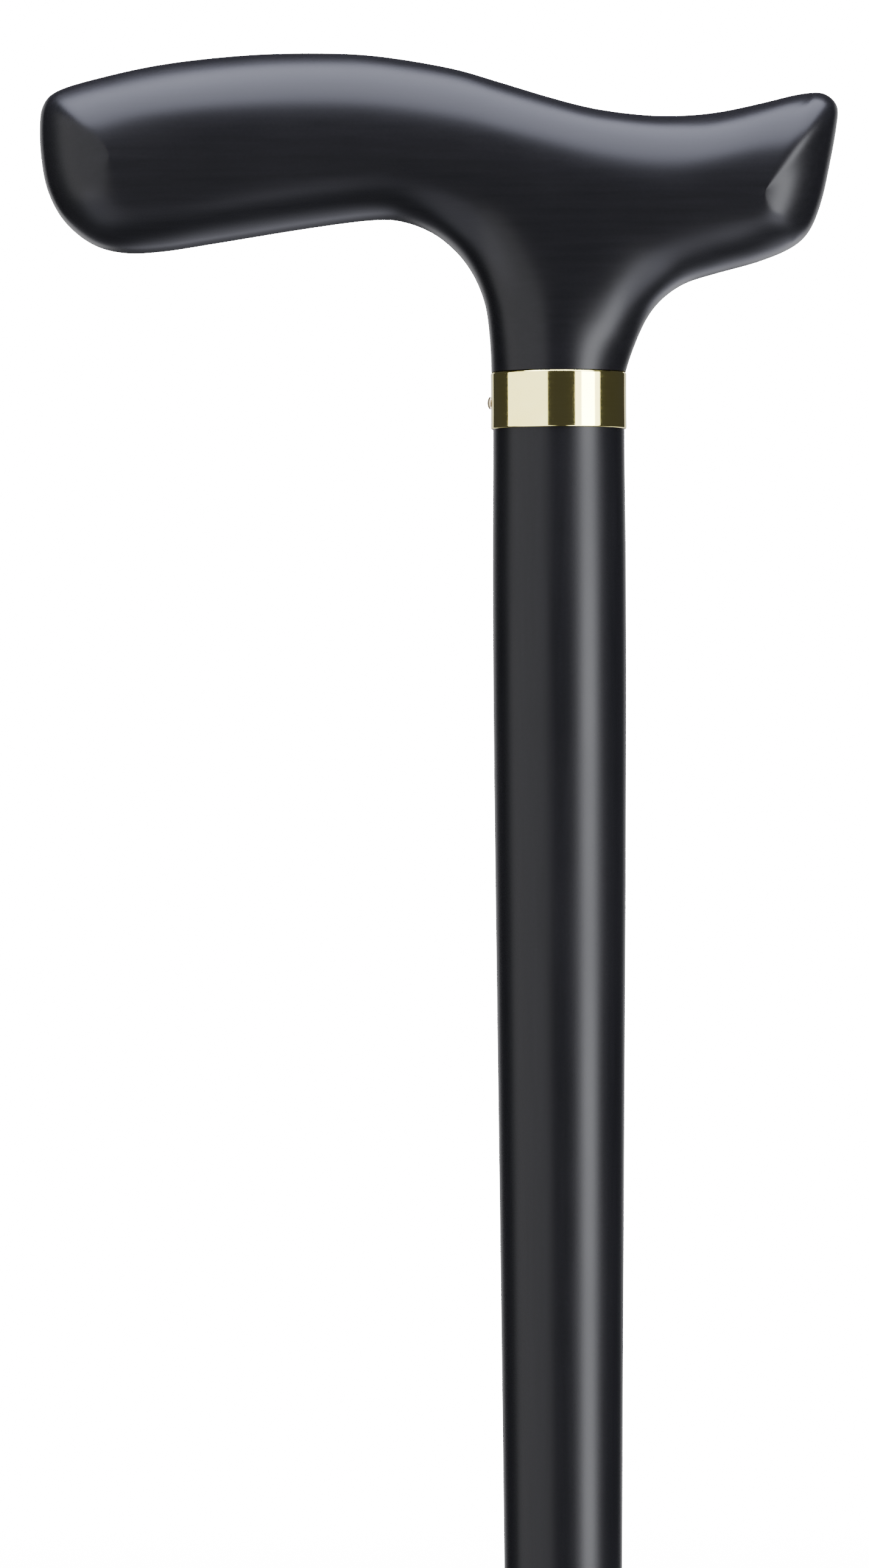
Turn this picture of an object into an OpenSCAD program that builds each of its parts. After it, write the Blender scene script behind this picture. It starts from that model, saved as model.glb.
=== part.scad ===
// Single point walking cane: a carved fritz handle and a turned hardwood shaft,
// drawn together by a double-ended wood screw and banded by a brass collar, on a rubber tip.
// Frame: origin at the middle of the tip's floor face, +Z up the shaft, +X towards the handle's nose.
// Millimetres throughout.

/* [Cane] */
// Overall length, from the floor to the crest of the handle
cane_length = 914; // [800:1:990]
// Largest radius of the shaft, a little below the collar
shaft_radius_top = 11.1; // [11:0.1:11.3]
// Radius of the shaft where the rubber tip fits on
shaft_radius_end = 8; // [7.5:0.1:8.2]

/* [Handle] */
// Radius of the round neck where it meets the collar
neck_radius = 11.2; // [11.05:0.05:11.3]
// Half of the thickness where the neck runs into the grip
crotch_half_thickness = 12.6; // [12:0.1:13.5]
// Half of the thickness of the palm end
palm_half_thickness = 14.6; // [13:0.1:16]
// Half of the thickness of the nose
nose_half_thickness = 12.8; // [11:0.1:14]
// How square the sections of the grip are: 2 is an ellipse
grip_squareness = 2.2; // [2:0.1:3]

/* [Collar] */
// Height of the brass collar
collar_height = 9.5; // [8:0.5:12]
// Outer radius of the collar
collar_radius = 11.3; // [11.25:0.05:11.6]
// Wall of the collar
collar_wall = 0.6; // [0.5:0.1:0.9]
// Radius of the collar pin's domed head
pin_head_radius = 1.1; // [0.9:0.1:1.5]

/* [Joint screw] */
// Length of the double-ended screw
screw_length = 70; // [60:1:76]
// Radius of the screw over its threads
thread_radius = 4; // [3.6:0.1:4.4]
// Radius of the screw's core between the threads
core_radius = 2.8; // [2.6:0.1:3]
// Rise of the thread in one turn
thread_pitch = 3.5; // [3:0.5:4.5]

/* [Rubber tip] */
// Height of the rubber tip
tip_height = 38; // [34:1:42]
// Radius of the tip's foot
foot_radius = 15.5; // [14:0.5:18]
// Radius of the tip's sleeve round the shaft
sleeve_radius = 11.6; // [11:0.1:12.4]
// Height of the shaft's end above the floor
socket_floor = 8; // [7:0.5:10]

/* [Hidden] */
$fn = 96;

LACQUER = "#1b1b1d";
BRASS = "#d8c98e";
STEEL = "#9a9ca0";
RUBBER = "#141414";

// Side outline of the handle as [x, z]: x runs from the palm end to the nose, and z is the height
// above the collar's top edge. The outline goes round from the left of the neck to its right.
neck_left = [[-neck_radius, 0], [-11.3, 3.2], [-11.6, 7.3], [-12.2, 11.3], [-13.8, 15.6]];
crotch_left = [-16.4, 19.5];
palm_under = [[-20.6, 23.1], [-25.8, 25.2], [-31, 25.5], [-41.6, 24.2], [-57.4, 21.7], [-66, 20.4]];
palm_heel = [-72.5, 20.2];
palm_end = [[-77.7, 21.7], [-82.2, 25.4], [-84.9, 30.4], [-86, 36], [-86.2, 41.5], [-85.6, 44.8]];
palm_corner = [-83.4, 47];
palm_top = [[-77.5, 48.9], [-66, 51.4], [-52.2, 52.9], [-40, 53.2], [-30, 52.7], [-18, 50.7], [-10, 48.4]];
saddle_top = [-1.5, 45.8];
nose_top = [[5.8, 43.9], [13.7, 42.8], [20, 42.6], [27, 43.2], [35, 44.9], [39.5, 46]];
nose_corner = [43, 46.4];
nose_end = [[45.1, 45.8], [46.6, 43.9], [46.4, 40.5], [45.3, 34.5], [43.9, 28.3], [41.9, 23.4]];
nose_heel = [38.9, 20.6];
nose_under = [[33.4, 18.3], [26.8, 16.5], [21.8, 15]];
crotch_right = [18.5, 13.1];
neck_right = [[15.9, 10.6], [14.1, 7.7], [12.6, 4.2], [11.7, 1.7], [neck_radius, 0]];

// The mid line inside the handle that the outline's sections turn about
branch_point = [0, 31];
palm_line = [[-12, 35.2], [-30, 38.6], [-52, 38.2]];
palm_pole = [-72.3, 36];
nose_line = [[9, 28.8], [20, 28]];
nose_pole = [31.8, 27.6];

// The sides round over within these distances of the outline, underneath and on top, and the
// underside is squarer than the top by a little
shoulder_under = 12;
shoulder_over = 18;
under_squarer = 0.2;

// Steps along each branch of the mid line, round each end, and from the outline to the mid line
NECK_STEPS = 8;
PALM_STEPS = 22;
NOSE_STEPS = 12;
END_STEPS = 16;
RING_STEPS = 10;

// The collar's top edge, and the face where handle and shaft meet inside the collar
collar_top = cane_length - 53.2;
spigot_length = 2.5;
joint_face = collar_top - spigot_length;
spigot_radius = collar_radius - collar_wall - 0.02;
pilot_radius = core_radius + 0.2;
pilot_slack = 3;

// The shaft holds its top radius for a while, then thins quickly, and slowly again near the tip
waist_depth = 0.15;
waist_length = 26;
taper_start = 36;
taper_length = 227;
taper_power = 1.5;
seat_length = 32;
SHAFT_STEPS = 60;

THREAD_STEPS = 18;
collar_top_bevel = 0.5;
collar_foot_bevel = 0.25;
pin_drop = 5.1;
pin_radius = 0.6;
pin_dome = 0.55;
pin_length = 6;
washer_thickness = 1.2;
washer_radius = 7.4;
tip_clearance = 0.05;
seat_gap = 0.2;

// ---------- curves ----------

function blend(a, b, t) = a + (b - a) * t;
function ease(t) = let (c = min(max(t, 0), 1)) c * c * (3 - 2 * c);

// Catmull-Rom point at parameter t, which counts the points of the list
function spline(points, t) =
    let (
        n = len(points),
        i = min(floor(t), n - 2),
        f = t - i,
        p1 = points[i],
        p2 = points[i + 1],
        p0 = i > 0 ? points[i - 1] : 2 * p1 - p2,
        p3 = i + 2 < n ? points[i + 2] : 2 * p2 - p1
    )
    0.5 * (2 * p1 + (p2 - p0) * f + (2 * p0 - 5 * p1 + 4 * p2 - p3) * f * f
        + (3 * p1 - p0 - 3 * p2 + p3) * f * f * f);

// count + 1 points along the part of a spline from one of its points to another
function stretch(points, from, to, count) =
    [for (k = [0 : count]) spline(points, blend(from, to, k / count))];

// Points of an arc about a centre, from one angle to another
function arc(centre, radius, from, to, count) =
    [for (k = [0 : count])
        let (a = blend(from, to, k / count))
        centre + radius * [cos(a), sin(a)]];

function reversed(list) = [for (k = [len(list) - 1 : -1 : 0]) list[k]];

// ---------- handle ----------

outline = concat(
    neck_left, [crotch_left], palm_under, [palm_heel], palm_end, [palm_corner],
    palm_top, [saddle_top], nose_top, [nose_corner], nose_end, [nose_heel],
    nose_under, [crotch_right], neck_right
);
AT_CROTCH_LEFT = len(neck_left);
AT_PALM_HEEL = AT_CROTCH_LEFT + len(palm_under) + 1;
AT_PALM_CORNER = AT_PALM_HEEL + len(palm_end) + 1;
AT_SADDLE = AT_PALM_CORNER + len(palm_top) + 1;
AT_NOSE_CORNER = AT_SADDLE + len(nose_top) + 1;
AT_NOSE_HEEL = AT_NOSE_CORNER + len(nose_end) + 1;
AT_CROTCH_RIGHT = AT_NOSE_HEEL + len(nose_under) + 1;

// The mid line's branches as [x, z, half thickness, squareness], each starting where they meet
neck_branch = [
    for (k = [0 : NECK_STEPS])
        let (t = k / NECK_STEPS)
        [
            0,
            blend(branch_point[1], 0, t),
            blend(crotch_half_thickness, neck_radius, ease(t * 1.3)),
            blend(grip_squareness, 2, ease(t * 1.3))
        ]
];
palm_branch = [
    for (k = [0 : PALM_STEPS])
        let (
            t = k / PALM_STEPS,
            line = concat([branch_point], palm_line, [palm_pole]),
            p = spline(line, t * (len(line) - 1))
        )
        [p[0], p[1], blend(crotch_half_thickness, palm_half_thickness, ease(t * 1.25)), grip_squareness]
];
nose_branch = [
    for (k = [0 : NOSE_STEPS])
        let (
            t = k / NOSE_STEPS,
            line = concat([branch_point], nose_line, [nose_pole]),
            p = spline(line, t * (len(line) - 1))
        )
        [
            p[0],
            p[1],
            blend(crotch_half_thickness, nose_half_thickness, ease(t * 1.5)),
            blend(grip_squareness, 2, ease(t * 1.5))
        ]
];

// Round its very end the nose is as square as the grip
nose_tip = [nose_pole[0], nose_pole[1], nose_half_thickness, grip_squareness];

// Pairs of an outline point and the mid line point that its section runs to
function spokes_along(from, to, count, mids) =
    let (edge = stretch(outline, from, to, count))
    [for (k = [0 : count - 1]) [edge[k], mids[k]]];

function spokes_round(from, to, count, mid) =
    let (edge = stretch(outline, from, to, count))
    [for (k = [0 : count - 1]) [edge[k], mid]];

spokes = concat(
    spokes_along(0, AT_CROTCH_LEFT, NECK_STEPS, reversed(neck_branch)),
    spokes_along(AT_CROTCH_LEFT, AT_PALM_HEEL, PALM_STEPS, palm_branch),
    spokes_round(AT_PALM_HEEL, AT_PALM_CORNER, END_STEPS, palm_branch[PALM_STEPS]),
    spokes_along(AT_PALM_CORNER, AT_SADDLE, PALM_STEPS, reversed(palm_branch)),
    spokes_along(AT_SADDLE, AT_NOSE_CORNER, NOSE_STEPS, nose_branch),
    spokes_round(AT_NOSE_CORNER, AT_NOSE_HEEL, END_STEPS, nose_tip),
    spokes_along(AT_NOSE_HEEL, AT_CROTCH_RIGHT, NOSE_STEPS, reversed(nose_branch)),
    spokes_along(AT_CROTCH_RIGHT, len(outline) - 1, NECK_STEPS, neck_branch),
    [[outline[len(outline) - 1], neck_branch[NECK_STEPS]]]
);

// Point of a section at ring k: the outline is ring 0, and the mid line is the last ring.
// side is 1 or -1, for the two faces of the handle.
function section_point(spoke, k, side) =
    let (
        f = 1 - cos(90 * k / RING_STEPS),
        q = spoke[0],
        m = spoke[1],
        length = norm(q - [m[0], m[1]]),
        upward = 0.5 + 0.5 * (q[1] - m[1]) / length,
        shoulder = blend(shoulder_under, shoulder_over, ease(upward)),
        square = m[3] + under_squarer * ease(1 - 2 * upward),
        left = max(1 - f * max(length / shoulder, 1), 0),
        rise = k == 0 ? 0 : pow(1 - pow(left, square), 1 / square)
    )
    [blend(q[0], m[0], f), side * m[2] * rise, blend(q[1], m[1], f)];

module handle_skin() {
    rows = len(spokes);
    per_side = RING_STEPS + 1;
    points = [
        for (side = [1, -1])
            for (s = spokes)
                for (k = [0 : RING_STEPS]) section_point(s, k, side)
    ];
    function at(side, row, ring) = (side * rows + row) * per_side + ring;
    skin = [
        for (row = [0 : rows - 2])
            for (ring = [0 : RING_STEPS - 1])
                for (side = [0, 1])
                    let (
                        a = at(side, row, ring),
                        b = at(side, row + 1, ring),
                        c = at(side, row + 1, ring + 1),
                        d = at(side, row, ring + 1)
                    )
                    each side == 0 ? [[a, c, b], [a, d, c]] : [[a, b, c], [a, c, d]]
    ];
    base = concat(
        [for (ring = [0 : RING_STEPS]) at(0, 0, ring)],
        [for (ring = [RING_STEPS - 1 : -1 : 0]) at(0, rows - 1, ring)],
        [for (ring = [1 : RING_STEPS]) at(1, rows - 1, ring)],
        [for (ring = [RING_STEPS - 1 : -1 : 1]) at(1, 0, ring)]
    );
    polyhedron(points = points, faces = concat(skin, [reversed(base)]), convexity = 6);
}

// Blind hole with a drill's pointed end, from the origin upwards
module pilot_hole(depth) {
    translate([0, 0, -1])
        cylinder(r = pilot_radius, h = depth + 1);
    translate([0, 0, depth])
        cylinder(r1 = pilot_radius, r2 = 0, h = pilot_radius * 0.6);
}

module handle() {
    color(LACQUER)
        difference() {
            union() {
                translate([0, 0, collar_top])
                    handle_skin();
                translate([0, 0, joint_face])
                    cylinder(r = spigot_radius, h = spigot_length + 1);
            }
            translate([0, 0, joint_face])
                pilot_hole(screw_length / 2 + pilot_slack);
        }
}

// ---------- collar and its pin ----------

// Along the pin, from the axis of the cane outwards on the palm's side
module at_pin() {
    translate([0, 0, collar_top - pin_drop])
        rotate([0, -90, 0])
            children();
}

module collar() {
    inner = collar_radius - collar_wall;
    bottom = collar_top - collar_height;
    color(BRASS)
        difference() {
            rotate_extrude()
                polygon([
                    [inner, bottom],
                    [collar_radius - collar_foot_bevel, bottom],
                    [collar_radius, bottom + collar_foot_bevel],
                    [collar_radius, collar_top - collar_top_bevel],
                    [collar_radius - 0.6 * collar_top_bevel, collar_top],
                    [inner, collar_top]
                ]);
            at_pin()
                cylinder(r = pin_radius, h = collar_radius + 1);
        }
}

// Shank driven through the collar into the shaft, under a domed head
module collar_pin() {
    under_head = collar_radius + 0.02;
    dome_radius = (pin_head_radius * pin_head_radius + pin_dome * pin_dome) / (2 * pin_dome);
    half_angle = asin(pin_head_radius / dome_radius);
    dome_centre = [0, under_head + pin_dome - dome_radius];
    color(BRASS)
        at_pin()
            rotate_extrude()
                polygon(concat(
                    [[0, under_head - pin_length], [pin_radius, under_head - pin_length + pin_radius],
                     [pin_radius, under_head]],
                    arc(dome_centre, dome_radius, 90 - half_angle, 90, 8)
                ));
}

// ---------- shaft ----------

shaft_end = socket_floor + seat_gap;
collar_bottom = collar_top - collar_height;
taper_top = collar_bottom;
taper_bottom = shaft_end + seat_length;

// How much of the whole taper has happened at a distance below the collar
function taper_share(below) =
    let (q = pow(max(below - taper_start, 0) / taper_length, taper_power))
    q / (1 + q);

function shaft_radius(below) =
    let (
        swell = waist_depth * (1 - ease(below / waist_length)),
        thinning = taper_share(below) / taper_share(taper_top - taper_bottom)
    )
    blend(shaft_radius_top, shaft_radius_end, thinning) - swell;

module shaft() {
    chamfer = 0.8;
    // Denser steps near the collar, where the taper bends most
    body = [
        for (k = [0 : SHAFT_STEPS])
            let (below = (taper_top - taper_bottom) * pow(k / SHAFT_STEPS, 1.6))
            [shaft_radius(below), taper_top - below]
    ];
    color(LACQUER)
        difference() {
            rotate_extrude()
                polygon(concat(
                    [[0, joint_face], [spigot_radius - 0.3, joint_face],
                     [spigot_radius, joint_face - 0.3], [spigot_radius, collar_bottom]],
                    body,
                    [[shaft_radius_end, shaft_end + chamfer],
                     [shaft_radius_end - chamfer, shaft_end], [0, shaft_end]]
                ));
            translate([0, 0, joint_face])
                mirror([0, 0, 1])
                    pilot_hole(screw_length / 2 + pilot_slack);
            at_pin()
                translate([0, 0, collar_radius - pin_length])
                    cylinder(r = pin_radius, h = pin_length);
        }
}

// ---------- joint screw ----------

// One end of the screw: a pointed core with a helical thread, from the origin upwards
module threaded_end(length) {
    turns = length / thread_pitch - 1;
    steps = floor(turns * THREAD_STEPS);
    point_steps = 2 * THREAD_STEPS;
    // The core widens from the point, and the thread rises from it and dies out at the plain middle
    core = function (k) core_radius * blend(0.08, 1, min(k / point_steps, 1));
    height = function (k)
        (thread_radius - core_radius) * min(k / THREAD_STEPS, (steps - k) / THREAD_STEPS, 1);
    points = concat(
        [for (k = [0 : steps])
            let (a = 360 * k / THREAD_STEPS, z = thread_pitch * k / THREAD_STEPS)
            each [
                [core(k) * cos(a), core(k) * sin(a), z],
                [(core(k) + height(k)) * cos(a), (core(k) + height(k)) * sin(a), z + 0.35 * thread_pitch],
                [core(k) * cos(a), core(k) * sin(a), z + 0.55 * thread_pitch]
            ]
        ],
        [[0, 0, -0.6], [0, 0, length]]
    );
    apex = len(points) - 2;
    crown = len(points) - 1;
    last = steps - THREAD_STEPS;
    flanks = [
        for (k = [0 : steps - 1])
            let (a = 3 * k, b = 3 * k + 3)
            each [[a, b + 1, b], [a, a + 1, b + 1], [a + 1, b + 2, b + 1], [a + 1, a + 2, b + 2]]
    ];
    lands = [
        for (k = [0 : last - 1])
            let (a = 3 * k + 2, b = a + 3, c = 3 * (k + THREAD_STEPS), d = c + 3)
            each [[a, d, b], [a, c, d]]
    ];
    nib = concat(
        [for (k = [0 : THREAD_STEPS - 1]) [apex, 3 * k, 3 * k + 3]],
        [[apex, 3 * THREAD_STEPS, 2], [apex, 2, 1], [apex, 1, 0]]
    );
    cap = concat(
        [for (k = [last : steps - 1]) [crown, 3 * k + 5, 3 * k + 2]],
        [[crown, 3 * steps + 1, 3 * steps + 2], [crown, 3 * steps, 3 * steps + 1],
         [crown, 3 * last + 2, 3 * steps]]
    );
    polyhedron(points = points, faces = concat(flanks, lands, nib, cap), convexity = 12);
}

module joint_screw() {
    middle = 9;
    half = screw_length / 2;
    color(STEEL)
        translate([0, 0, joint_face]) {
            cylinder(r = pilot_radius - 0.02, h = middle, center = true);
            for (turn = [0, 180])
                rotate([turn, 0, 0])
                    translate([0, 0, -half + 0.6])
                        threaded_end(half - 0.6);
        }
}

// ---------- rubber tip ----------

module rubber_tip() {
    groove_depth = 1.3;
    groove_width = 1.4;
    grooves = [6, 9, 12];
    foot_height = 6.5;
    bead_radius = 1.8;
    socket_radius = shaft_radius_end + tip_clearance;
    relief = 0.35;
    ribs = 5;
    rib_height = 1.6;
    flare = 7.5;
    foot_edge = 0.8;
    flare_angle = acos((sleeve_radius + flare - foot_radius + foot_edge) / flare);
    flare_centre = [sleeve_radius + flare, foot_height + foot_edge + flare * sin(flare_angle)];
    bead_at = [sleeve_radius - bead_radius + 0.9, tip_height - bead_radius];
    color(RUBBER)
        difference() {
            rotate_extrude()
                polygon(concat(
                    [[0, 0]],
                    arc([foot_radius - 1.2, 1.2], 1.2, -90, 0, 6),
                    arc([foot_radius - foot_edge, foot_height], foot_edge, 0, 90, 5),
                    arc(flare_centre, flare, 180 + flare_angle, 180, 10),
                    arc([sleeve_radius - 0.6, tip_height - 9.5], 1.3, -60, 60, 6),
                    arc(bead_at, bead_radius, -28, 90, 8),
                    [[0, tip_height]]
                ));
            translate([0, 0, socket_floor - washer_thickness])
                cylinder(r = washer_radius + 0.1, h = washer_thickness + 1);
            translate([0, 0, socket_floor])
                cylinder(r = socket_radius, h = tip_height);
            // Relief between the gripping ribs inside the socket
            pitch = (tip_height - socket_floor - rib_height) / ribs;
            for (k = [0 : ribs - 1])
                translate([0, 0, socket_floor + rib_height + pitch * k])
                    cylinder(r = socket_radius + relief, h = pitch - rib_height);
            translate([0, 0, tip_height - 0.8])
                cylinder(r1 = socket_radius, r2 = socket_radius + 1.2, h = 0.9);
            for (r = grooves)
                translate([0, 0, -1])
                    difference() {
                        cylinder(r = r + groove_width / 2, h = groove_depth + 1);
                        translate([0, 0, -1])
                            cylinder(r = r - groove_width / 2, h = groove_depth + 3);
                    }
        }
}

module tip_washer() {
    color(STEEL)
        translate([0, 0, socket_floor - washer_thickness])
            cylinder(r = washer_radius, h = washer_thickness);
}

handle();
collar();
collar_pin();
shaft();
joint_screw();
rubber_tip();
tip_washer();
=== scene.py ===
"""The single point cane's looks: black lacquer on wood, a polished brass collar and a rubber tip.

Sizes are in millimetres where they repeat the CAD design, and points become metres when a mesh is
made. The floor and the lights are in metres.
"""

import math

import bmesh
import bpy
import numpy as np
from mathutils import Matrix, Vector


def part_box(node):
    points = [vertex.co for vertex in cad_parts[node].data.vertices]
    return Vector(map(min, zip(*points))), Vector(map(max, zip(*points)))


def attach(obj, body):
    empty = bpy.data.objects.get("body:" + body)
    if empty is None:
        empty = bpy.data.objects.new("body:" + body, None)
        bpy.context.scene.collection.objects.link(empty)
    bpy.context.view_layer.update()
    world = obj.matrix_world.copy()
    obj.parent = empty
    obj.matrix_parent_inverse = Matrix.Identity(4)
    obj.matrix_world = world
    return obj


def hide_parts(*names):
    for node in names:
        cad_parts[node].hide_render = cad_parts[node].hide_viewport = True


MM = 0.001

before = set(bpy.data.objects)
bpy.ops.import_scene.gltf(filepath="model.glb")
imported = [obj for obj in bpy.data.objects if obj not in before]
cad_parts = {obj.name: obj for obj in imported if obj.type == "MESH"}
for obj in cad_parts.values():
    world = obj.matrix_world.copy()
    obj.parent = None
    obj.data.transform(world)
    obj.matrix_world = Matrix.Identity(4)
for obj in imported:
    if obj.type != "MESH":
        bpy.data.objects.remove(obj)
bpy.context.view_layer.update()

# Heights and radii that the design hangs on, in millimetres, read from the frame
JOINT_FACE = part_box("handle")[0].z / MM
COLLAR_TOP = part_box("collar")[1].z / MM
COLLAR_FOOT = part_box("collar")[0].z / MM
COLLAR_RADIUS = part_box("collar")[1].x / MM
SHAFT_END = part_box("shaft")[0].z / MM
TIP_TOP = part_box("rubber_tip")[1].z / MM
FOOT_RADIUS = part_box("rubber_tip")[1].x / MM
WASHER_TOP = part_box("tip_washer")[1].z / MM
WASHER_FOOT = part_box("tip_washer")[0].z / MM
PIN_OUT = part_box("collar_pin")[0].x / MM
PIN_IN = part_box("collar_pin")[1].x / MM
PIN_HEIGHT = (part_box("collar_pin")[0].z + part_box("collar_pin")[1].z) / 2 / MM
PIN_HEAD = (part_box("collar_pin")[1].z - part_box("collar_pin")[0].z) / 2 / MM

COLLAR_WALL = 0.6
SHAFT_END_RADIUS = 8.0

# The spigots on handle and shaft inside the collar, with the screw's pilot hole drilled into each
SPIGOT_GAP = 0.02
SPIGOT_RADIUS = COLLAR_RADIUS - COLLAR_WALL - SPIGOT_GAP
SPIGOT_BEVEL = 0.3
PILOT_RADIUS = 3.0
PILOT_DEPTH = 38.0
DRILL_POINT = 0.6 * PILOT_RADIUS


# ---------- curves ----------


def blend(a, b, t):
    return a + (b - a) * t


def ease(t):
    c = min(max(t, 0.0), 1.0)
    return c * c * (3 - 2 * c)


def spline(points, t):
    """Catmull-Rom point at parameter t, which counts the points of the list."""
    points = np.asarray(points, float)
    i = min(int(t), len(points) - 2)
    f = t - i
    p1, p2 = points[i], points[i + 1]
    p0 = points[i - 1] if i > 0 else 2 * p1 - p2
    p3 = points[i + 2] if i + 2 < len(points) else 2 * p2 - p1
    return 0.5 * (
        2 * p1
        + (p2 - p0) * f
        + (2 * p0 - 5 * p1 + 4 * p2 - p3) * f * f
        + (3 * p1 - p0 - 3 * p2 + p3) * f**3
    )


def arc(centre, radius, start, end, count):
    """count + 1 points of an arc, with its angles in degrees."""
    angles = [math.radians(blend(start, end, k / count)) for k in range(count + 1)]
    return [(centre[0] + radius * math.cos(a), centre[1] + radius * math.sin(a)) for a in angles]


# ---------- mesh helpers ----------


def make_piece(name, verts, faces, material, slot, body, replaced, merge=0.0):
    """A smooth mesh piece, from points in millimetres, that stands for a CAD node and rides on its body."""
    mesh = bpy.data.meshes.new(name)
    mesh.from_pydata([[float(c) * MM for c in v] for v in verts], [], faces)
    mesh.validate()
    mesh.polygons.foreach_set("use_smooth", [True] * len(mesh.polygons))
    obj = bpy.data.objects.new(name, mesh)
    bpy.context.scene.collection.objects.link(obj)
    mesh.materials.append(material)
    if merge:
        weld(obj, merge)
    face_outwards(obj)
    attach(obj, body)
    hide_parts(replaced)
    return obj


def weld(obj, distance):
    bm = bmesh.new()
    bm.from_mesh(obj.data)
    bmesh.ops.remove_doubles(bm, verts=bm.verts, dist=distance * MM)
    bmesh.ops.dissolve_degenerate(bm, edges=bm.edges, dist=distance * MM * 0.1)
    bm.to_mesh(obj.data)
    bm.free()


def face_outwards(obj):
    bm = bmesh.new()
    bm.from_mesh(obj.data)
    bmesh.ops.recalc_face_normals(bm, faces=bm.faces)
    bm.to_mesh(obj.data)
    bm.free()


def lathe(profile, segments):
    """Verts and faces of an outline turned about Z. The outline's ends lie on the axis."""
    verts = [(0, 0, profile[0][1])]
    rings = profile[1:-1]
    for radius, z in rings:
        for s in range(segments):
            a = 2 * math.pi * s / segments
            verts.append((radius * math.cos(a), radius * math.sin(a), z))
    verts.append((0, 0, profile[-1][1]))
    last = len(verts) - 1

    def at(ring, s):
        return 1 + ring * segments + s % segments

    faces = [(0, at(0, s + 1), at(0, s)) for s in range(segments)]
    for ring in range(len(rings) - 1):
        faces += [
            (at(ring, s), at(ring, s + 1), at(ring + 1, s + 1), at(ring + 1, s))
            for s in range(segments)
        ]
    faces += [(last, at(len(rings) - 1, s), at(len(rings) - 1, s + 1)) for s in range(segments)]
    return verts, faces


def lathe_ring(profile, segments):
    """Verts and faces of a closed outline turned about Z, with a hole along the axis."""
    verts = []
    for radius, z in profile:
        for s in range(segments):
            a = 2 * math.pi * s / segments
            verts.append((radius * math.cos(a), radius * math.sin(a), z))
    count = len(profile)

    def at(ring, s):
        return (ring % count) * segments + s % segments

    faces = [
        (at(ring, s), at(ring, s + 1), at(ring + 1, s + 1), at(ring + 1, s))
        for ring in range(count)
        for s in range(segments)
    ]
    return verts, faces


def new_material(name):
    material = bpy.data.materials.new(name)
    material.use_nodes = True
    tree = material.node_tree
    return material, tree, tree.nodes["Principled BSDF"]


def coordinates(tree, scale):
    """Object coordinates, which are metres in the row frame, stretched by scale."""
    where = tree.nodes.new("ShaderNodeTexCoord")
    mapping = tree.nodes.new("ShaderNodeMapping")
    mapping.inputs["Scale"].default_value = scale
    tree.links.new(where.outputs["Object"], mapping.inputs["Vector"])
    return mapping.outputs["Vector"]


def noise(tree, scale, size, detail=4.0, roughness=0.55, distortion=0.0):
    node = tree.nodes.new("ShaderNodeTexNoise")
    node.inputs["Scale"].default_value = size
    node.inputs["Detail"].default_value = detail
    node.inputs["Roughness"].default_value = roughness
    node.inputs["Distortion"].default_value = distortion
    tree.links.new(coordinates(tree, scale), node.inputs["Vector"])
    return node.outputs["Fac"]


def ramp(tree, factor, stops):
    """Colour ramp through (position, colour) stops."""
    node = tree.nodes.new("ShaderNodeValToRGB")
    elements = node.color_ramp.elements
    while len(elements) < len(stops):
        elements.new(0.5)
    for element, (position, colour) in zip(elements, stops):
        element.position = position
        element.color = (*colour, 1.0)
    tree.links.new(factor, node.inputs["Fac"])
    return node.outputs["Color"]


def to_range(tree, value, low, high, from_low=0.3, from_high=0.7):
    node = tree.nodes.new("ShaderNodeMapRange")
    node.inputs["From Min"].default_value = from_low
    node.inputs["From Max"].default_value = from_high
    node.inputs["To Min"].default_value = low
    node.inputs["To Max"].default_value = high
    tree.links.new(value, node.inputs["Value"])
    return node.outputs["Result"]


def add(tree, a, b, share=1.0):
    """a + share * b, for values."""
    node = tree.nodes.new("ShaderNodeMath")
    node.operation = "MULTIPLY_ADD"
    node.inputs[1].default_value = share
    tree.links.new(b, node.inputs[0])
    tree.links.new(a, node.inputs[2])
    return node.outputs["Value"]


def bump(tree, shader, height, distance, strength=1.0):
    node = tree.nodes.new("ShaderNodeBump")
    node.inputs["Strength"].default_value = strength
    node.inputs["Distance"].default_value = distance
    tree.links.new(height, node.inputs["Height"])
    tree.links.new(node.outputs["Normal"], shader.inputs["Normal"])


# Low, so that lacquer and rubber stay black beside the softboxes' reflections
DARK_SPECULAR = 0.14


def lacquer(name, along):
    """Satin black lacquer: wood grain that runs along an axis telegraphs faintly through the film."""
    material, tree, shader = new_material(name)
    stretch = tuple(0.05 if axis == along else 1.0 for axis in "XYZ")
    grain = noise(tree, stretch, 900.0, detail=6.0, roughness=0.6, distortion=0.4)
    smears = noise(tree, (1, 1, 1), 38.0, detail=3.0)
    film = noise(tree, (1, 1, 1), 1400.0, detail=2.0)
    colour = ramp(
        tree,
        add(tree, grain, smears, 0.25),
        [(0.35, (0.0020, 0.0020, 0.0023)), (0.85, (0.0030, 0.0029, 0.0034))],
    )
    tree.links.new(colour, shader.inputs["Base Color"])
    rough = add(tree, to_range(tree, smears, 0.30, 0.34), grain, 0.02)
    tree.links.new(rough, shader.inputs["Roughness"])
    shader.inputs["Specular IOR Level"].default_value = DARK_SPECULAR
    bump(tree, shader, add(tree, grain, film, 0.5), 0.000002)
    return material


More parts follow.
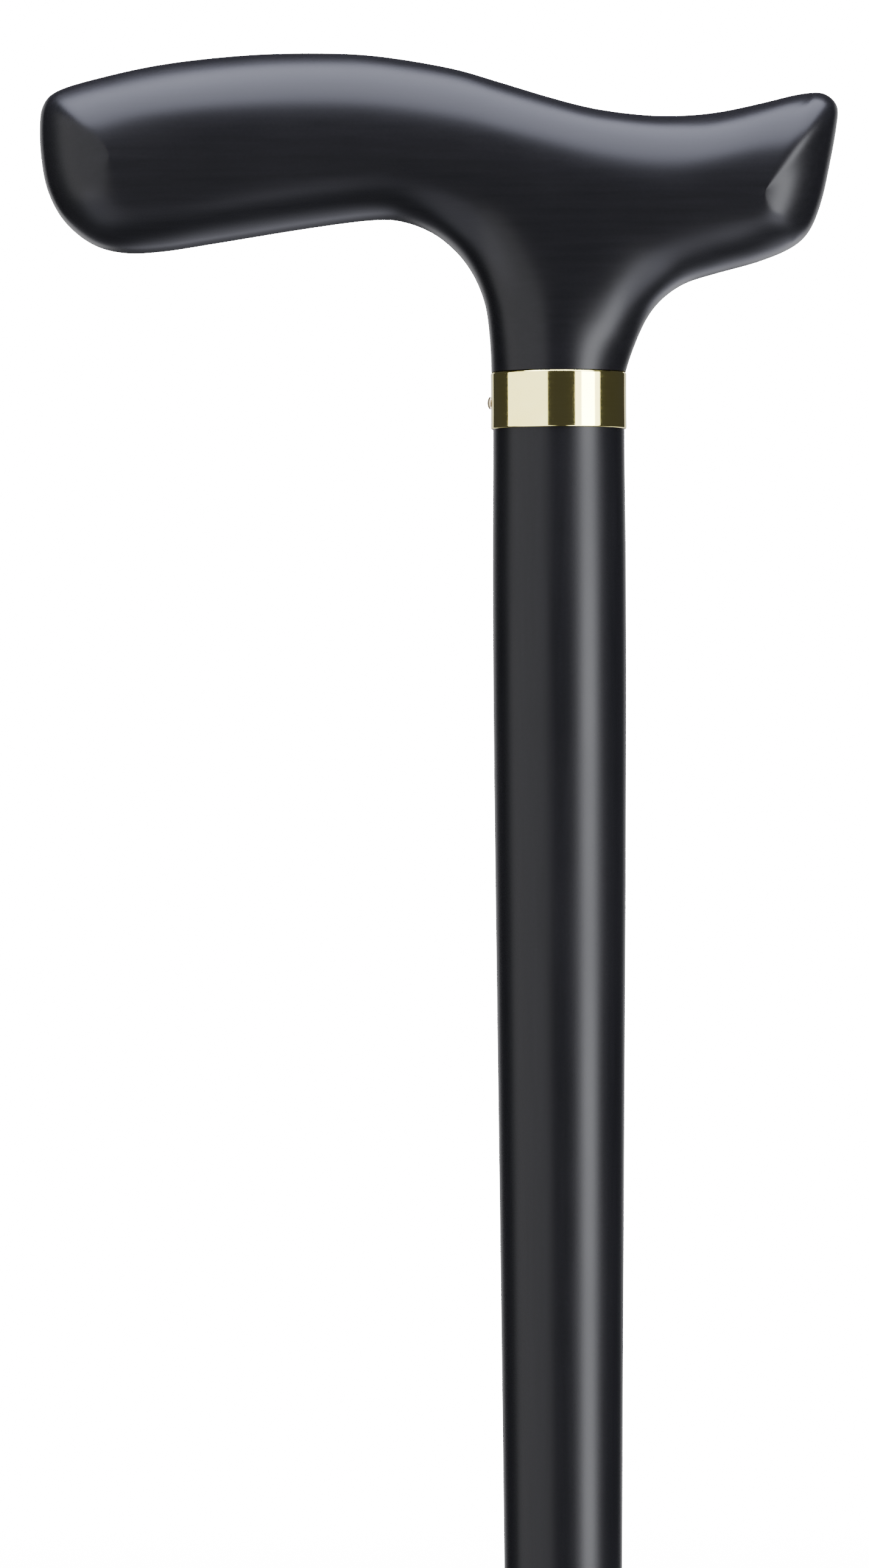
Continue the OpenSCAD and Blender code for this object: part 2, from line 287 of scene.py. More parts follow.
def polished_brass():
    material, tree, shader = new_material("polished_brass")
    shader.inputs["Metallic"].default_value = 1.0
    around = noise(tree, (1.0, 1.0, 40.0), 90.0, detail=5.0, roughness=0.7)
    patches = noise(tree, (1, 1, 1), 160.0, detail=3.0)
    colour = ramp(tree, patches, [(0.3, (0.96, 0.85, 0.27)), (0.7, (1.0, 0.91, 0.33))])
    tree.links.new(colour, shader.inputs["Base Color"])
    tree.links.new(to_range(tree, around, 0.05, 0.10), shader.inputs["Roughness"])
    bump(tree, shader, around, 0.000002)
    return material


def dull_brass():
    material, tree, shader = new_material("dull_brass")
    shader.inputs["Metallic"].default_value = 1.0
    tarnish = noise(tree, (1, 1, 1), 2600.0, detail=5.0)
    colour = ramp(tree, tarnish, [(0.3, (0.34, 0.27, 0.15)), (0.7, (0.62, 0.52, 0.33))])
    tree.links.new(colour, shader.inputs["Base Color"])
    tree.links.new(to_range(tree, tarnish, 0.45, 0.28), shader.inputs["Roughness"])
    bump(tree, shader, tarnish, 0.00001)
    return material


def zinc_steel():
    material, tree, shader = new_material("zinc_steel")
    shader.inputs["Metallic"].default_value = 1.0
    spangle = noise(tree, (1, 1, 1), 900.0, detail=4.0)
    colour = ramp(tree, spangle, [(0.3, (0.48, 0.49, 0.51)), (0.7, (0.68, 0.69, 0.71))])
    tree.links.new(colour, shader.inputs["Base Color"])
    tree.links.new(to_range(tree, spangle, 0.28, 0.42), shader.inputs["Roughness"])
    bump(tree, shader, spangle, 0.000015)
    return material


def black_rubber():
    """Moulded rubber: a fine skin, with pale dust in patches."""
    material, tree, shader = new_material("black_rubber")
    skin = noise(tree, (1, 1, 1), 1800.0, detail=4.0, roughness=0.65)
    dust = noise(tree, (1, 1, 0.6), 120.0, detail=6.0, roughness=0.6)
    colour = ramp(
        tree,
        add(tree, dust, skin, 0.2),
        [
            (0.45, (0.005, 0.005, 0.005)),
            (0.62, (0.009, 0.0088, 0.0086)),
            (0.85, (0.022, 0.021, 0.020)),
        ],
    )
    tree.links.new(colour, shader.inputs["Base Color"])
    tree.links.new(to_range(tree, dust, 0.52, 0.78), shader.inputs["Roughness"])
    shader.inputs["Specular IOR Level"].default_value = DARK_SPECULAR
    bump(tree, shader, add(tree, skin, dust, 0.5), 0.00004)
    return material


def bare_wood():
    """The uncoated end of the shaft, with growth rings across it."""
    material, tree, shader = new_material("bare_wood")
    rings = tree.nodes.new("ShaderNodeTexWave")
    rings.wave_type = "RINGS"
    rings.rings_direction = "Z"
    rings.inputs["Scale"].default_value = 260.0
    rings.inputs["Distortion"].default_value = 3.0
    rings.inputs["Detail"].default_value = 3.0
    shift = coordinates(tree, (1, 1, 1))
    shift.node.inputs["Location"].default_value = (0.021, 0.012, 0.0)
    tree.links.new(shift, rings.inputs["Vector"])
    pores = noise(tree, (1, 1, 1), 3200.0, detail=3.0)
    colour = ramp(
        tree,
        add(tree, rings.outputs["Fac"], pores, 0.5),
        [(0.2, (0.62, 0.42, 0.24)), (1.2, (0.42, 0.25, 0.13))],
    )
    tree.links.new(colour, shader.inputs["Base Color"])
    tree.links.new(to_range(tree, pores, 0.6, 0.8), shader.inputs["Roughness"])
    bump(tree, shader, pores, 0.00005)
    return material


# The floor's own light rises from the first strength to the second between these distances, in metres
FLOOR_GLOW = (3.0, 20.0)
FLOOR_GLOW_BETWEEN = (1.5, 9.0)


def floor_paint():
    """Pale grey paint. It glows, brighter further out, so that it meets the white background."""
    material, tree, shader = new_material("floor_paint")
    mottle = noise(tree, (1, 1, 1), 3.0, detail=3.0)
    colour = ramp(tree, mottle, [(0.3, (0.29, 0.29, 0.295)), (0.7, (0.32, 0.32, 0.32))])
    tree.links.new(colour, shader.inputs["Base Color"])
    tree.links.new(to_range(tree, mottle, 0.7, 0.8), shader.inputs["Roughness"])
    away = tree.nodes.new("ShaderNodeVectorMath")
    away.operation = "LENGTH"
    where = tree.nodes.new("ShaderNodeTexCoord")
    tree.links.new(where.outputs["Object"], away.inputs[0])
    shader.inputs["Emission Color"].default_value = (1.0, 1.0, 1.0, 1.0)
    strength = to_range(tree, away.outputs["Value"], *FLOOR_GLOW, *FLOOR_GLOW_BETWEEN)
    tree.links.new(strength, shader.inputs["Emission Strength"])
    return material


# ---------- handle ----------

NECK_RADIUS = 11.2
CROTCH_HALF = 12.6
PALM_HALF = 14.6
NOSE_HALF = 12.8
# How square the sections are: 2 is an ellipse
GRIP_SQUARENESS = 2.2
ROUND = 2.0
# The underside is squarer than the top by this much
UNDER_SQUARER = 0.2
# The sides round over within these distances of the outline, underneath and on top
SHOULDER_UNDER = 12.0
SHOULDER_OVER = 18.0

# Side outline as (x, height above the collar), from the left of the neck round to its right
NECK_LEFT = [(-NECK_RADIUS, 0), (-11.3, 3.2), (-11.6, 7.3), (-12.2, 11.3), (-13.8, 15.6)]
CROTCH_LEFT = (-16.4, 19.5)
PALM_UNDER = [(-20.6, 23.1), (-25.8, 25.2), (-31, 25.5), (-41.6, 24.2), (-57.4, 21.7), (-66, 20.4)]
PALM_HEEL = (-72.5, 20.2)
PALM_END = [(-77.7, 21.7), (-82.2, 25.4), (-84.9, 30.4), (-86, 36), (-86.2, 41.5), (-85.6, 44.8)]
PALM_CORNER = (-83.4, 47)
PALM_TOP = [
    (-77.5, 48.9), (-66, 51.4), (-52.2, 52.9), (-40, 53.2), (-30, 52.7), (-18, 50.7), (-10, 48.4)
]
SADDLE_TOP = (-1.5, 45.8)
NOSE_TOP = [(5.8, 43.9), (13.7, 42.8), (20, 42.6), (27, 43.2), (35, 44.9), (39.5, 46)]
NOSE_CORNER = (43, 46.4)
NOSE_END = [(45.1, 45.8), (46.6, 43.9), (46.4, 40.5), (45.3, 34.5), (43.9, 28.3), (41.9, 23.4)]
NOSE_HEEL = (38.9, 20.6)
NOSE_UNDER = [(33.4, 18.3), (26.8, 16.5), (21.8, 15)]
CROTCH_RIGHT = (18.5, 13.1)
NECK_RIGHT = [(15.9, 10.6), (14.1, 7.7), (12.6, 4.2), (11.7, 1.7)]
NECK_FOOT = (NECK_RADIUS, 0)

# Mid line that the outline's sections turn about, from where its branches meet
BRANCH_POINT = (0, 31)
NECK_LINE = [BRANCH_POINT, (0, 0)]
PALM_LINE = [BRANCH_POINT, (-12, 35.2), (-30, 38.6), (-52, 38.2), (-72.3, 36)]
NOSE_LINE = [BRANCH_POINT, (9, 28.8), (20, 28), (31.8, 27.6)]

# Sections along each run of the outline, and points from the outline to the mid line
NECK_STEPS = 24
PALM_STEPS = 66
NOSE_STEPS = 36
END_STEPS = 48
RING_STEPS = 26
# How many times sooner than its end each branch reaches its own thickness
NECK_PACE = 1.3
PALM_PACE = 1.25
NOSE_PACE = 1.5


def branch(line, steps, end_half, end_square, pace):
    """Mid points as (x, z, half thickness, squareness) along one branch of the mid line."""
    mids = []
    for k in range(steps + 1):
        t = k / steps
        change = ease(t * pace)
        x, z = spline(line, t * (len(line) - 1))
        half = blend(CROTCH_HALF, end_half, change)
        mids.append((x, z, half, blend(GRIP_SQUARENESS, end_square, change)))
    return mids


def handle_spokes():
    """Pairs of an outline point and the mid point that its section runs to."""
    neck = branch(NECK_LINE, NECK_STEPS, NECK_RADIUS, ROUND, NECK_PACE)
    palm = branch(PALM_LINE, PALM_STEPS, PALM_HALF, GRIP_SQUARENESS, PALM_PACE)
    nose = branch(NOSE_LINE, NOSE_STEPS, NOSE_HALF, ROUND, NOSE_PACE)
    nose_tip = (*nose[-1][:3], GRIP_SQUARENESS)
    runs = [
        (NECK_LEFT, CROTCH_LEFT, neck[::-1]),
        (PALM_UNDER, PALM_HEEL, palm),
        (PALM_END, PALM_CORNER, [palm[-1]] * (END_STEPS + 1)),
        (PALM_TOP, SADDLE_TOP, palm[::-1]),
        (NOSE_TOP, NOSE_CORNER, nose),
        (NOSE_END, NOSE_HEEL, [nose_tip] * (END_STEPS + 1)),
        (NOSE_UNDER, CROTCH_RIGHT, nose[::-1]),
        (NECK_RIGHT, NECK_FOOT, neck),
    ]
    outline = [p for points, end, _ in runs for p in [*points, end]]
    spokes = []
    start = 0
    for _, end, mids in runs:
        stop = outline.index(end)
        steps = len(mids) - 1
        for k in range(steps):
            spokes.append((spline(outline, blend(start, stop, k / steps)), mids[k]))
        start = stop
    spokes.append((np.array(NECK_FOOT, float), neck[-1]))
    return spokes


OUTLINE_PASSES = 2


def even_outline(spokes, passes):
    """Takes the last ripples out of the outline, between its fixed ends."""
    edge = np.array([s[0] for s in spokes])
    for _ in range(passes):
        edge[1:-1] = 0.5 * edge[1:-1] + 0.25 * (edge[:-2] + edge[2:])
    return [(e, s[1]) for e, s in zip(edge, spokes)]


def section_point(spoke, k):
    """Point k of a section: 0 is on the outline, and +RING_STEPS and -RING_STEPS are on the mid line."""
    edge, (x, z, half, square) = spoke
    f = 1 - math.cos(math.pi / 2 * abs(k) / RING_STEPS)
    length = math.hypot(edge[0] - x, edge[1] - z)
    upward = 0.5 + 0.5 * (edge[1] - z) / length
    shoulder = blend(SHOULDER_UNDER, SHOULDER_OVER, ease(upward))
    square += UNDER_SQUARER * ease(1 - 2 * upward)
    left = max(1 - f * max(length / shoulder, 1.0), 0.0)
    rise = max(1 - left**square, 0.0) ** (1 / square)
    side = math.copysign(1, k)
    return (blend(edge[0], x, f), side * half * rise, COLLAR_TOP + blend(edge[1], z, f))


def handle_mesh():
    """The handle's one skin: its sections in turn, then the spigot and the pilot hole at its foot."""
    spokes = even_outline(handle_spokes(), OUTLINE_PASSES)
    across = range(-RING_STEPS, RING_STEPS + 1)
    width = len(across)
    verts = [section_point(s, k) for s in spokes for k in across]
    faces = [
        (r * width + c, r * width + c + 1, (r + 1) * width + c + 1, (r + 1) * width + c)
        for r in range(len(spokes) - 1)
        for c in range(width - 1)
    ]
    # The open foot of the neck: its circle, then the spigot inside the collar, then the pilot hole
    first = list(range(width))
    last = [(len(spokes) - 1) * width + c for c in range(width)]
    rim = first[:-1] + last[::-1][:-1]
    levels = [
        (SPIGOT_RADIUS, COLLAR_TOP),
        (SPIGOT_RADIUS, JOINT_FACE + SPIGOT_BEVEL),
        (SPIGOT_RADIUS - SPIGOT_BEVEL, JOINT_FACE),
        (PILOT_RADIUS, JOINT_FACE),
        (PILOT_RADIUS, JOINT_FACE + PILOT_DEPTH),
    ]
    for radius, z in levels:
        base = len(verts)
        for v in rim:
            x, y, _ = verts[v]
            reach = math.hypot(x, y)
            verts.append((x / reach * radius, y / reach * radius, z))
        count = len(rim)
        faces += [
            (rim[i], rim[(i + 1) % count], base + (i + 1) % count, base + i) for i in range(count)
        ]
        rim = [base + i for i in range(count)]
    verts.append((0, 0, JOINT_FACE + PILOT_DEPTH + DRILL_POINT))
    faces += [(rim[i], rim[(i + 1) % len(rim)], len(verts) - 1) for i in range(len(rim))]
    return verts, faces


RELAX_PASSES = 60
# Smoothing starts this far out from the handle's middle plane, and is full after the ramp
FLANK_START, FLANK_RAMP = 6.0, 4.0
# And so it does this far above the collar
FOOT_START, FOOT_RAMP = 1.0, 10.0


def relax(obj, passes):
    """Smooths the flanks, so that sections that turn quickly leave no crease. The outline stays."""
    mesh = obj.data
    co = np.zeros(len(mesh.vertices) * 3)
    mesh.vertices.foreach_get("co", co)
    co = co.reshape(-1, 3)
    edges = np.zeros(len(mesh.edges) * 2, int)
    mesh.edges.foreach_get("vertices", edges)
    edges = edges.reshape(-1, 2)
    degree = np.bincount(edges.ravel(), minlength=len(co))[:, None]
    out = np.abs(co[:, 1]) / MM
    height = co[:, 2] / MM - COLLAR_TOP
    on_flank = np.clip((out - FLANK_START) / FLANK_RAMP, 0, 1)
    off_foot = np.clip((height - FOOT_START) / FOOT_RAMP, 0, 1)
    free = on_flank * off_foot
    for _ in range(passes):
        total = np.zeros_like(co)
        np.add.at(total, edges[:, 0], co[edges[:, 1]])
        np.add.at(total, edges[:, 1], co[edges[:, 0]])
        co += 0.5 * free[:, None] * (total / degree - co)
    mesh.vertices.foreach_set("co", co.ravel())
    mesh.update()


# ---------- shaft, collar, pin and tip ----------

# The same taper as the CAD design: full, then quicker, then slow again towards the tip
TAPER_START = 36.0
TAPER_LENGTH = 227.0
TAPER_POWER = 1.5
WAIST_DEPTH = 0.15
WAIST_LENGTH = 26.0
SEAT_LENGTH = 32.0
SHAFT_RADIUS_TOP = 11.1
SHAFT_END_ROUND = 0.8
SHAFT_STEPS = 110
# Rings crowd towards the collar, where the waist is, by this power
SHAFT_CROWDING = 1.5


def taper_share(below):
    """How much of the thinning is done at a distance below the collar."""
    q = (max(below - TAPER_START, 0) / TAPER_LENGTH) ** TAPER_POWER
    return q / (1 + q)


def shaft_radius(below, whole):
    swell = WAIST_DEPTH * (1 - ease(below / WAIST_LENGTH))
    thinning = taper_share(below) / taper_share(whole)
    return blend(SHAFT_RADIUS_TOP, SHAFT_END_RADIUS, thinning) - swell


def shaft_profile():
    """The shaft's outline, from the pilot hole's point over the spigot and down the taper to the end."""
    whole = COLLAR_FOOT - (SHAFT_END + SEAT_LENGTH)
    body = []
    for k in range(SHAFT_STEPS + 1):
        below = whole * (k / SHAFT_STEPS) ** SHAFT_CROWDING
        body.append((shaft_radius(below, whole), COLLAR_FOOT - below))
    seat = [(SHAFT_END_RADIUS, SHAFT_END + SEAT_LENGTH * k / 4) for k in (3, 2, 1)]
    r = SHAFT_END_ROUND
    edge = arc((SHAFT_END_RADIUS - r, SHAFT_END + r), r, 0, -90, 6)
    return [
        (0, JOINT_FACE - PILOT_DEPTH - DRILL_POINT),
        (PILOT_RADIUS, JOINT_FACE - PILOT_DEPTH),
        (PILOT_RADIUS, JOINT_FACE),
        (SPIGOT_RADIUS - SPIGOT_BEVEL, JOINT_FACE),
        (SPIGOT_RADIUS, JOINT_FACE - SPIGOT_BEVEL),
        (SPIGOT_RADIUS, COLLAR_FOOT),
        *body,
        *seat,
        *edge,
        (5.0, SHAFT_END),
        (0, SHAFT_END),
    ]


COLLAR_FOOT_ROLL = 0.25
COLLAR_TOP_ROLL = 0.45
# The band between the rolled edges is drawn in by this much
COLLAR_WAIST = 0.02


def collar_profile():
    """A rolled band: bright lips at both edges, and a very slight waist between them."""
    inner = COLLAR_RADIUS - COLLAR_WALL
    waist = COLLAR_RADIUS - COLLAR_WAIST
    top, foot = COLLAR_TOP, COLLAR_FOOT
    low, high = COLLAR_FOOT_ROLL, COLLAR_TOP_ROLL
    return [
        (inner, foot + 0.15),
        (inner + 0.15, foot),
        *arc((COLLAR_RADIUS - low, foot + low), low, -90, 0, 6),
        (COLLAR_RADIUS, foot + 0.6),
        (waist, foot + 2.5),
        (waist, top - 2.5),
        (COLLAR_RADIUS - COLLAR_WAIST / 2, top - high - 0.6),
        *arc((COLLAR_RADIUS - high, top - high), high, 0, 80, 8),
        (inner + 0.1, top),
        (inner, top - 0.1),
    ]


PIN_DOME = 0.55
PIN_SHANK = 0.6
PIN_SEGMENTS = 32


def pin_mesh():
    """The brad's shank and domed head, turned about the pin's own axis, which points to -X."""
    head_base = -PIN_OUT - PIN_DOME
    dome = [
        (PIN_HEAD * math.cos(a), head_base + PIN_DOME * math.sin(a))
        for a in [math.radians(x) for x in range(0, 90, 10)]
    ]
    profile = [
        (0, -PIN_IN),
        (PIN_SHANK, -PIN_IN + PIN_SHANK),
        (PIN_SHANK, head_base),
        (PIN_HEAD - 0.05, head_base),
        *dome,
        (0, -PIN_OUT),
    ]
    verts, faces = lathe(profile, PIN_SEGMENTS)
    return [(-z, y, PIN_HEIGHT + x) for x, y, z in verts], faces


FOOT_HEIGHT = 6.5
FOOT_ROUND = 1.2
FOOT_EDGE = 0.8
FLARE_RADIUS = 7.5
SLEEVE_RADIUS = 11.6
LIP_RADIUS = 1.8
# The roll round the sleeve, which bulges out below the lip
ROLL_RADIUS = 1.3
ROLL_BELOW_TOP = 9.5
ROLL_SPREAD = 58
# The socket's ribs all but touch the shaft, with shallow reliefs between them
SOCKET_GAP = 0.05
RIB_COUNT = 5
RIB_HEIGHT = 1.6
RELIEF_DEPTH = 0.35
RIB_SLOPE = 0.15
WASHER_SEAT_RADIUS = 7.5
# The sole's ring grooves, as a half section that is mirrored about each middle radius
GROOVE_MIDDLES = (6.0, 9.0, 12.0)
GROOVE_HALF = [(0.7, 0), (0.62, 0.12), (0.62, 1.1), (0.4, 1.3)]


def sole_grooves():
    points = []
    for middle in GROOVE_MIDDLES:
        points += [(middle - out, up) for out, up in GROOVE_HALF]
        points += [(middle + out, up) for out, up in reversed(GROOVE_HALF)]
    return points


def ribbed_socket(socket):
    """The socket's wall from the mouth's end down to its floor."""
    points = []
    pitch = (TIP_TOP - WASHER_TOP - RIB_HEIGHT) / RIB_COUNT
    for k in reversed(range(RIB_COUNT)):
        low = WASHER_TOP + RIB_HEIGHT + pitch * k
        high = low + pitch - RIB_HEIGHT
        points += [(socket, high + RIB_SLOPE), (socket + RELIEF_DEPTH, high - RIB_SLOPE)]
        points += [(socket + RELIEF_DEPTH, low + RIB_SLOPE), (socket, low - RIB_SLOPE)]
    return points


def tip_profile():
    """The tip's outside from the foot up, then down its ribbed socket to the washer's seat."""
    sleeve = SLEEVE_RADIUS
    flare_middle = sleeve + FLARE_RADIUS
    angle = math.degrees(math.acos((flare_middle - FOOT_RADIUS + FOOT_EDGE) / FLARE_RADIUS))
    flare_top = FOOT_HEIGHT + FOOT_EDGE + FLARE_RADIUS * math.sin(math.radians(angle))
    socket = SHAFT_END_RADIUS + SOCKET_GAP
    roll = (sleeve - 0.6, TIP_TOP - ROLL_BELOW_TOP)
    lip = (sleeve - LIP_RADIUS / 2, TIP_TOP - LIP_RADIUS)
    return [
        (0, 0),
        (3.0, 0),
        *sole_grooves(),
        *arc((FOOT_RADIUS - FOOT_ROUND, FOOT_ROUND), FOOT_ROUND, -90, 0, 8),
        (FOOT_RADIUS, 2.6),
        (FOOT_RADIUS, 4.6),
        *arc((FOOT_RADIUS - FOOT_EDGE, FOOT_HEIGHT), FOOT_EDGE, 0, 90, 6),
        *arc((flare_middle, flare_top), FLARE_RADIUS, 180 + angle, 180, 16)[1:],
        (sleeve, flare_top + 4),
        (sleeve, TIP_TOP - 11.4),
        *arc(roll, ROLL_RADIUS, -ROLL_SPREAD, ROLL_SPREAD, 12),
        (sleeve, TIP_TOP - 7.6),
        (sleeve, TIP_TOP - 4),
        *arc(lip, LIP_RADIUS, -50, 90, 14),
        (socket + 1.2, TIP_TOP),
        (socket + 0.9, TIP_TOP - 0.15),
        (socket, TIP_TOP - 0.9),
        *ribbed_socket(socket),
        (socket, WASHER_TOP),
        (WASHER_SEAT_RADIUS, WASHER_TOP),
        (WASHER_SEAT_RADIUS, WASHER_FOOT),
        (0, WASHER_FOOT),
    ]


def sharpen(obj, degrees):
    """Keeps real edges crisp and everything else smooth."""
    obj.data.set_sharp_from_angle(angle=math.radians(degrees))


def is_cut_end(centre):
    """Whether a face of the shaft is on its lower end or on the joint face, which bear no lacquer."""
    on_end = centre.z < SHAFT_END + SHAFT_END_ROUND + 0.1
    return on_end or abs(centre.z - JOINT_FACE) < 0.01


def paint_faces(obj, material, chosen):
    """Gives the faces whose centre chosen() picks a second material."""
    obj.data.materials.append(material)
    for face in obj.data.polygons:
        if chosen(face.center / MM):
            face.material_index = 1


# ---------- the pieces ----------

lacquer_across = lacquer("lacquer_handle", "X")
lacquer_up = lacquer("lacquer_shaft", "Z")
brass = polished_brass()
steel = zinc_steel()
rubber = black_rubber()
wood = bare_wood()

# Points of the handle closer than this are one, as where sections meet on the mid line
HANDLE_WELD = 0.004
SEGMENTS = 128
COLLAR_SEGMENTS = 160
# Turned pieces are crisp where their faces meet at more than this, in degrees
TURNED_EDGE = 35

handle_piece = make_piece(
    "handle_wood",
    *handle_mesh(),
    lacquer_across,
    "black_lacquer",
    "stick",
    "handle",
    merge=HANDLE_WELD,
)
relax(handle_piece, RELAX_PASSES)
sharpen(handle_piece, 50)

shaft_piece = make_piece(
    "shaft_wood",
    *lathe(shaft_profile(), SEGMENTS),
    lacquer_up,
    "black_lacquer",
    "stick",
    "shaft",
)
paint_faces(shaft_piece, wood, is_cut_end)
sharpen(shaft_piece, TURNED_EDGE)

collar_piece = make_piece(
    "collar_band",
    *lathe_ring(collar_profile(), COLLAR_SEGMENTS),
    brass,
    "polished_brass",
    "stick",
    "collar",
)
sharpen(collar_piece, TURNED_EDGE)

pin_piece = make_piece(
    "collar_pin_brad", *pin_mesh(), dull_brass(), "dull_brass", "stick", "collar_pin"
)
sharpen(pin_piece, 40)

tip_piece = make_piece(
    "tip_rubber",
    *lathe(tip_profile(), SEGMENTS),
    rubber,
    "black_rubber",
    "tip",
    "rubber_tip",
)
sharpen(tip_piece, TURNED_EDGE)

for name in ("joint_screw", "tip_washer"):
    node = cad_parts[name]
    node.data.materials.clear()
    node.data.materials.append(steel)


# ---------- stage, light and camera ----------

# In metres. The floor is low enough for the tip to be pulled off
FLOOR_DROP = 0.034
FLOOR_HALF = 12.0


def make_floor():
    mesh = bpy.data.meshes.new("floor")
    half = FLOOR_HALF
    z = -FLOOR_DROP
    mesh.from_pydata(
        [(-half, -half, z), (half, -half, z), (half, half, z), (-half, half, z)],
        [],
        [(0, 1, 2, 3)],
    )
    floor = bpy.data.objects.new("floor", mesh)
    bpy.context.scene.collection.objects.link(floor)
    mesh.materials.append(floor_paint())
    # The studio is dark below the cane, so the cane neither reflects the floor nor is lit or shaded by it
    floor.visible_glossy = False
    floor.visible_diffuse = False
    floor.visible_shadow = False


def softbox(name, middle, towards, span, reach, length, radiance, colour):
    """A flat panel of the given radiance that faces middle, unseen by the camera.

    Seen from middle, reach away, it spans span degrees about the direction towards, and it is length
    metres long across that. Side panels are long in height, overhead ones along the handle.
    """
    half = math.radians(span / 2)
    light = bpy.data.lights.new(name, "AREA")
    light.shape = "RECTANGLE"
    light.size = length
    light.size_y = 2 * reach * math.sin(half)
    light.energy = radiance * math.pi * light.size * light.size_y
    light.color = colour
    obj = bpy.data.objects.new(name, light)
    bpy.context.scene.collection.objects.link(obj)
    towards = Vector(towards).normalized()
    obj.location = Vector(middle) + towards * reach * math.cos(half)
    facing = -towards
    along = Vector((0, 0, 1)) if abs(towards.z) < 0.5 else Vector((1, 0, 0))
    across = facing.cross(along).normalized()
    along = across.cross(facing)
    turn = Matrix((along, -across, -facing)).transposed()
    obj.rotation_euler = turn.to_euler()
    obj.visible_camera = False
    return obj


def level(degrees):
    """Level direction that many degrees to the right of the camera, seen from the cane."""
    a = math.radians(degrees)
    return (math.sin(a), -math.cos(a), 0)


def raised(degrees):
    """Direction that many degrees up from the camera's, over the cane and on to its back."""
    a = math.radians(degrees)
    return (0, -math.cos(a), math.sin(a))


def lowered(across, down):
    """Direction across degrees to the right of the camera, and down degrees below level."""
    x, y, _ = level(across)
    a = math.radians(down)
    return (x * math.cos(a), y * math.cos(a), -math.sin(a))


def glow(tree, where, towards, dark, bright, outer, inner):
    """Brightness that rises from dark to bright between two angles, in degrees, to a direction."""
    node = tree.nodes.new("ShaderNodeVectorMath")
    node.operation = "DOT_PRODUCT"
    node.inputs[1].default_value = towards
    tree.links.new(where, node.inputs[0])
    edge, core = math.cos(math.radians(outer)), math.cos(math.radians(inner))
    return to_range(tree, node.outputs["Value"], dark, bright, edge, core)


WHITE_STRENGTH = 20.0
DARK_STRENGTH = 0.063
STUDIO_TINT = (0.86, 0.87, 1.0, 1)


def make_world():
    """White behind the object, and a dark studio in what it reflects."""
    world = bpy.data.worlds.new("studio")
    bpy.context.scene.world = world
    world.use_nodes = True
    tree = world.node_tree
    tree.nodes.clear()
    output = tree.nodes.new("ShaderNodeOutputWorld")
    mix = tree.nodes.new("ShaderNodeMixShader")
    seen = tree.nodes.new("ShaderNodeBackground")
    seen.inputs["Color"].default_value = (1, 1, 1, 1)
    seen.inputs["Strength"].default_value = WHITE_STRENGTH
    around = tree.nodes.new("ShaderNodeBackground")
    around.inputs["Color"].default_value = STUDIO_TINT
    # The studio is dark but for pale patches low down: two behind the object, and one on each side
    where = tree.nodes.new("ShaderNodeTexCoord").outputs["Generated"]
    behind = glow(tree, where, lowered(154, 40), DARK_STRENGTH, 2.4, outer=27.75, inner=15)
    corner = glow(tree, where, lowered(-153.4, 34.1), 0.0, 0.35, outer=21.57, inner=12.84)
    right = glow(tree, where, lowered(52, 45), 0.0, 9.0, outer=25.84, inner=15)
    left = glow(tree, where, lowered(-58, 50), 0.0, 3.5, outer=31.79, inner=21.57)
    low_light = add(tree, add(tree, behind, corner), add(tree, right, left))
    tree.links.new(low_light, around.inputs["Strength"])
    ray = tree.nodes.new("ShaderNodeLightPath")
    tree.links.new(ray.outputs["Is Camera Ray"], mix.inputs["Fac"])
    tree.links.new(around.outputs["Background"], mix.inputs[1])
    tree.links.new(seen.outputs["Background"], mix.inputs[2])
    tree.links.new(mix.outputs["Shader"], output.inputs["Surface"])


LENS = 180
SENSOR = 36
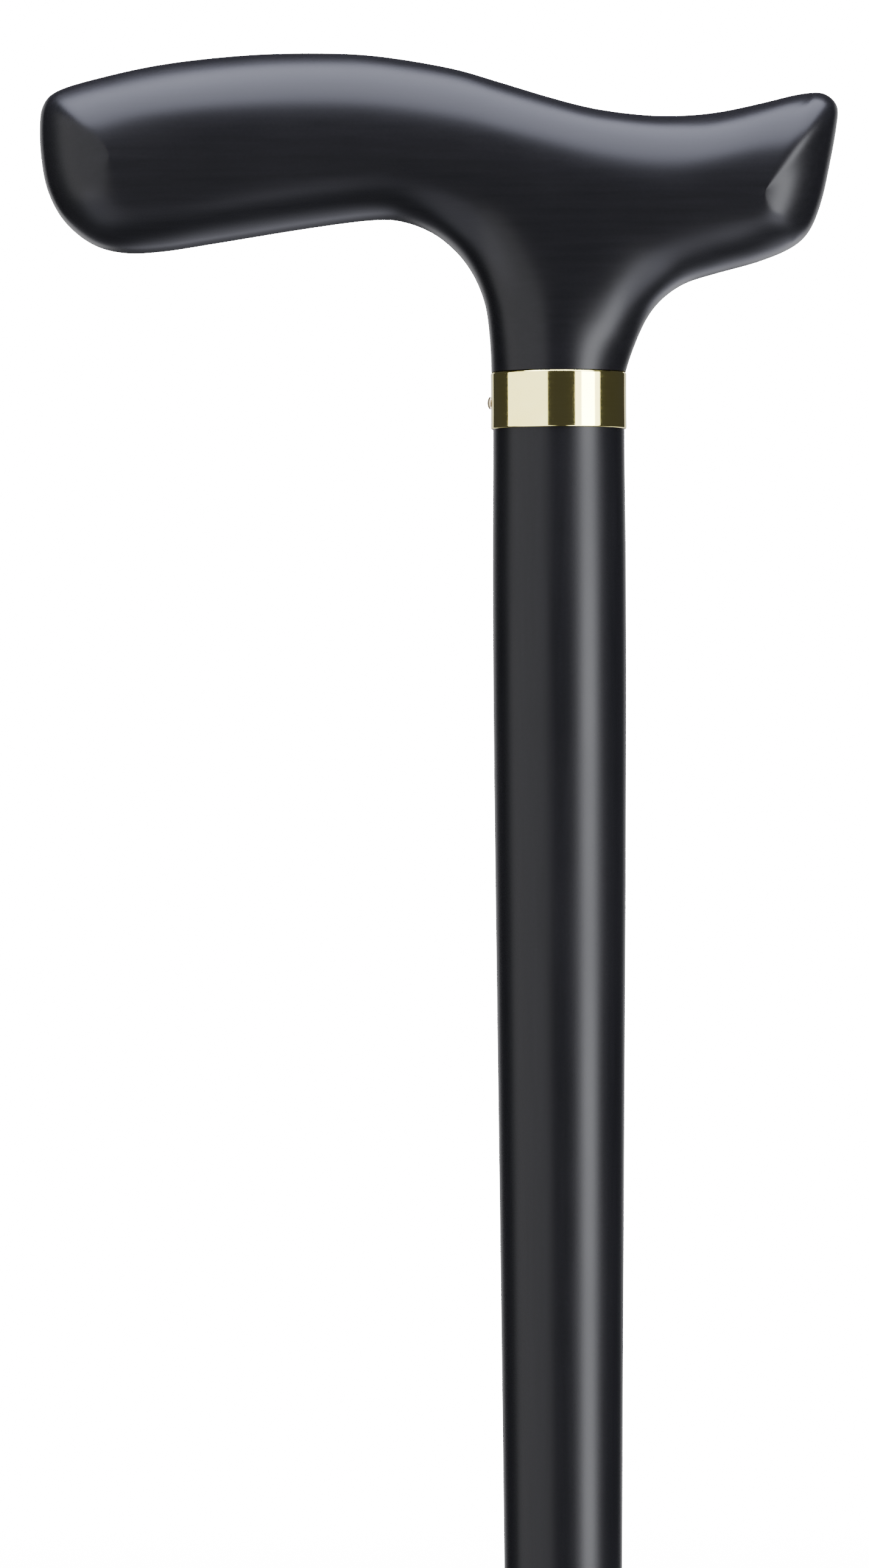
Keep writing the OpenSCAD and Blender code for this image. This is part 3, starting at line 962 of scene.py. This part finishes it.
# In millimetres: the height that the picture covers, and its middle from the collar's top
SEEN_HEIGHT = 261.2
SEEN_MIDDLE = (-20.93, -68.5)
# The picture leans by this many degrees
LEAN = 0.225


def make_camera():
    """Level, at the height of the stretch that it sees, with a long lens."""
    data = bpy.data.cameras.new("camera")
    data.lens = LENS
    data.sensor_width = SENSOR
    camera = bpy.data.objects.new("camera", data)
    bpy.context.scene.collection.objects.link(camera)
    across, up = SEEN_MIDDLE
    centre = Vector((across, 0, COLLAR_TOP + up)) * MM
    distance = SEEN_HEIGHT * MM * LENS / SENSOR
    camera.location = centre + Vector((0, -distance, 0))
    camera.rotation_euler = (math.radians(90), math.radians(LEAN), 0)
    data.clip_start = 0.01
    data.clip_end = 100
    bpy.context.scene.camera = camera


BLUISH = (0.81, 0.83, 1.0)
COOL = (0.94, 0.95, 1.0)
NEUTRAL = (0.98, 0.98, 1.0)
# The lights on the right and at the back are aimed at the shaft, this far below the grip
AIM_BELOW_GRIP = 0.17
SIDE_LENGTH = 1.36


def make_lights():
    """Six softboxes: one overhead, a wide dim one on the left, two on the right and two at the back.

    On the right a narrow bright core lies in a wider, dimmer one. The two at the back only touch the
    silhouette from the front.
    """
    grip = Vector((-15, 0, COLLAR_TOP + 20)) * MM
    beside = grip - Vector((0, 0, AIM_BELOW_GRIP))
    # Name, aimed at, direction, degrees spanned, distance, length, radiance and colour
    for panel in (
        ("overhead", grip, raised(76.3), 62.5, 1.4, 2.2, 19.2, BLUISH),
        ("left", grip, level(-58), 78, 1.7, 1.75, 3.5, NEUTRAL),
        ("right", beside, level(50.6), 46, 1.7, SIDE_LENGTH, 6.0, COOL),
        ("right_core", beside, level(51), 24, 1.6, SIDE_LENGTH, 19.0, COOL),
        ("back_left", beside, level(-160), 22, 1.8, SIDE_LENGTH, 1.2, NEUTRAL),
        ("back_right", beside, level(160), 22, 1.8, SIDE_LENGTH, 1.2, NEUTRAL),
    ):
        softbox(*panel)


make_floor()
make_world()
make_camera()
make_lights()
